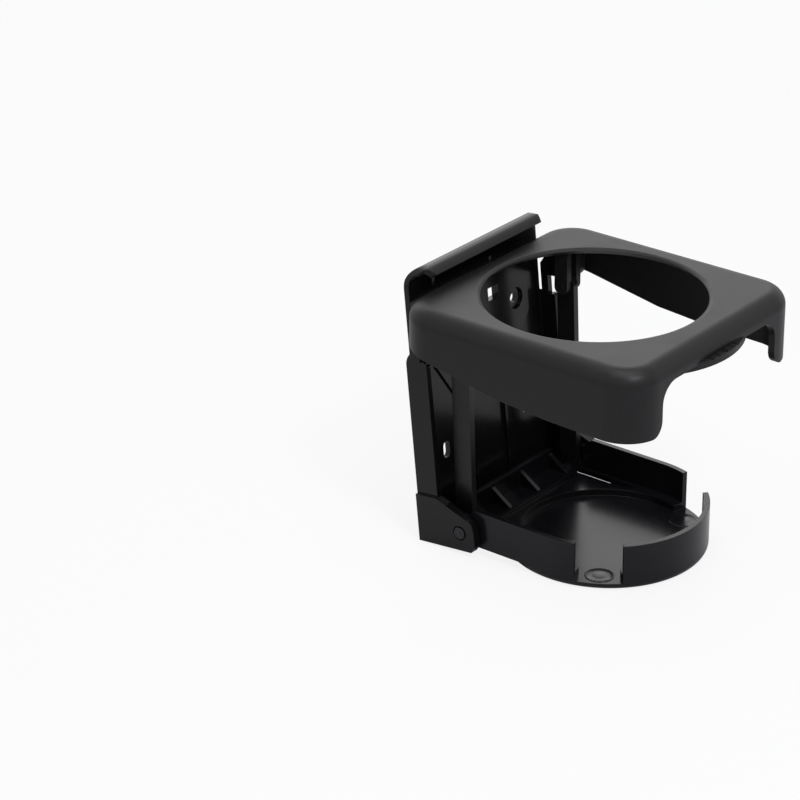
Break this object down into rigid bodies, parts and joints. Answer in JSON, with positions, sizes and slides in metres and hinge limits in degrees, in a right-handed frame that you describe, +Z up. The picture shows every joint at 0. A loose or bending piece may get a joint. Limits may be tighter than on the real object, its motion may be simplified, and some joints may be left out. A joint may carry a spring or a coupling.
{
  "type": "folding car cup holder",
  "caption": "Black plastic car cup holder with a back plate, a fold-down square ring and a fold-down round tray joined by two link arms.",
  "frame": {"origin": "on the cup's axis, at the height of the surface that the tray stands on", "axes": "+X across the holder, -Y towards the front tab, +Y towards the back plate, +Z up"},
  "size_m": [0.094, 0.103, 0.0956],
  "materials": {
    "gloss_plastic": "gloss",
    "textured_plastic": "fine texture",
    "link_plastic": "satin",
    "pin_plastic": "satin"
  },
  "bodies": {
    "back_frame": {"back_plate": "gloss_plastic", "ring_pin_left": "pin_plastic", "ring_pin_right": "pin_plastic", "tray_pin_left": "pin_plastic", "tray_pin_right": "pin_plastic"},
    "ring": {"cup_ring": "textured_plastic", "link_top_pin_left": "pin_plastic", "link_top_pin_right": "pin_plastic"},
    "tray": {"cup_tray": "gloss_plastic", "link_low_pin_left": "pin_plastic", "link_low_pin_right": "pin_plastic"},
    "left_link": {"link_arm_left": "link_plastic"},
    "right_link": {"link_arm_right": "link_plastic"}
  },
  "joints": [
    {"name": "ring_hinge", "type": "hinge", "parent": "back_frame", "child": "ring", "pos_m": [0, 0.0361, 0.0765], "axis": [1, 0, 0], "range_deg": [0, 84.5]},
    {"name": "tray_hinge", "type": "hinge", "parent": "back_frame", "child": "tray", "pos_m": [0, 0.02599, 0.00805], "axis": [1, 0, 0], "range_deg": [-95.5, 0]},
    {"name": "left_link_hinge", "type": "hinge", "parent": "ring", "child": "left_link", "pos_m": [-0.0294, 0.0318, 0.0733], "axis": [1, 0, 0], "range_deg": [-96, 0]},
    {"name": "right_link_hinge", "type": "hinge", "parent": "ring", "child": "right_link", "pos_m": [0.0294, 0.0318, 0.0733], "axis": [1, 0, 0], "range_deg": [-96, 0]}
  ],
  "couplings": [
    {"joint": "tray_hinge", "follows": "ring_hinge", "ratio": -1.13},
    {"joint": "left_link_hinge", "follows": "ring_hinge", "ratio": -1.1343},
    {"joint": "right_link_hinge", "follows": "ring_hinge", "ratio": -1.1343}
  ]
}
